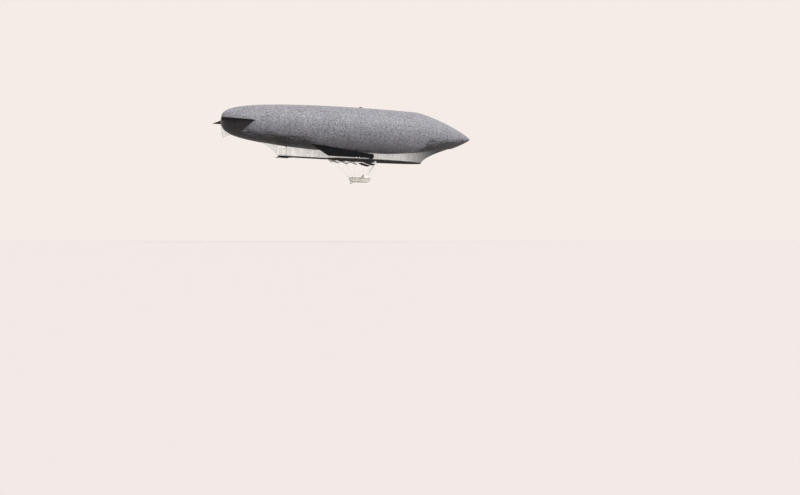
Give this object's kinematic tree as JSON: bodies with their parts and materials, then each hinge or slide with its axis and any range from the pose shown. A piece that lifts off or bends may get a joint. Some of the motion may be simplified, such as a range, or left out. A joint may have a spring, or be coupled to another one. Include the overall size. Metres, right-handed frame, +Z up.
{
  "type": "scale model of a semi-rigid airship",
  "caption": "Half-size model of a semi-rigid airship: long gas bag with tail fins, oval keel platform, tail beam with rudder, elevator planes and an open car on stays with side propellers.",
  "frame": {"origin": "mid-length of the gas bag, on its axis, where the air holds it up", "axes": "+X to the nose, +Y to port, +Z up"},
  "size_m": [30.95, 5.399, 8.8085],
  "materials": {
    "envelope_cloth": "rubberised cotton, matt with a faint sheen",
    "light_cloth": "light doped cotton, matt",
    "dark_cloth": "dark fireproofed canvas, matt",
    "steel_tube": "dark enamel on steel tube, satin",
    "steel_rope": "galvanised wire rope, dull",
    "bright_steel": "ground steel sheet, oiled, satin",
    "car_cloth": "pale varnished cloth over a tube frame",
    "wood": "varnished ash",
    "iron": "cast, dull",
    "brass": "sheet, slightly dulled"
  },
  "bodies": {
    "airship": {"envelope": "envelope_cloth", "gas_valve": "brass", "tail_fin_port": "dark_cloth", "tail_fin_starboard": "dark_cloth", "tail_fin_lower": "light_cloth", "keel_rear": "light_cloth", "keel_middle": "light_cloth", "keel_front": "light_cloth", "keel_tail": "light_cloth", "screen_port": "dark_cloth", "screen_starboard": "dark_cloth", "screen_front": "dark_cloth", "platform_frame": "steel_tube", "platform_deck": "dark_cloth", "tail_beam": "steel_tube", "beam_plane_port": "dark_cloth", "beam_plane_starboard": "dark_cloth", "beam_fin": "dark_cloth", "rudder_bracket": "steel_tube", "elevator_hanger_port": "steel_tube", "elevator_hanger_starboard": "steel_tube", "stay_port_1": "steel_rope", "stay_port_2": "steel_rope", "stay_port_3": "steel_rope", "stay_port_4": "steel_rope", "stay_port_5": "steel_rope", "stay_starboard_1": "steel_rope", "stay_starboard_2": "steel_rope", "stay_starboard_3": "steel_rope", "stay_starboard_4": "steel_rope", "stay_starboard_5": "steel_rope", "car_bottom": "car_cloth", "car_side_port": "car_cloth", "car_side_starboard": "car_cloth", "car_gunwale": "steel_tube", "car_floor": "wood", "engine": "iron", "gearbox": "iron", "radiator": "brass", "fuel_tank": "brass", "blower": "iron", "air_duct": "light_cloth", "steering_wheel": "wood", "control_lever": "bright_steel", "exhaust": "iron", "outrigger_port": "steel_tube", "outrigger_starboard": "steel_tube"},
    "rudder": {"rudder": "light_cloth"},
    "elevator": {"elevator": "dark_cloth"},
    "propeller_port": {"propeller_port": "bright_steel"},
    "propeller_starboard": {"propeller_starboard": "bright_steel"}
  },
  "joints": [
    {"name": "rudder_turn", "type": "hinge", "parent": "airship", "child": "rudder", "pos_m": [-8.3, 0, -2.8], "axis": [0, 0, 1], "range_deg": [-30, 30]},
    {"name": "elevator_tilt", "type": "hinge", "parent": "airship", "child": "elevator", "pos_m": [1.25, 0, -3.7], "axis": [0, 1, 0], "range_deg": [-35, 5]},
    {"name": "propeller_port_spin", "type": "hinge", "parent": "airship", "child": "propeller_port", "pos_m": [0.12, 1.1, -5.32], "axis": [1, 0, 0], "continuous": true},
    {"name": "propeller_starboard_spin", "type": "hinge", "parent": "airship", "child": "propeller_starboard", "pos_m": [0.12, -1.1, -5.32], "axis": [1, 0, 0], "continuous": true}
  ]
}
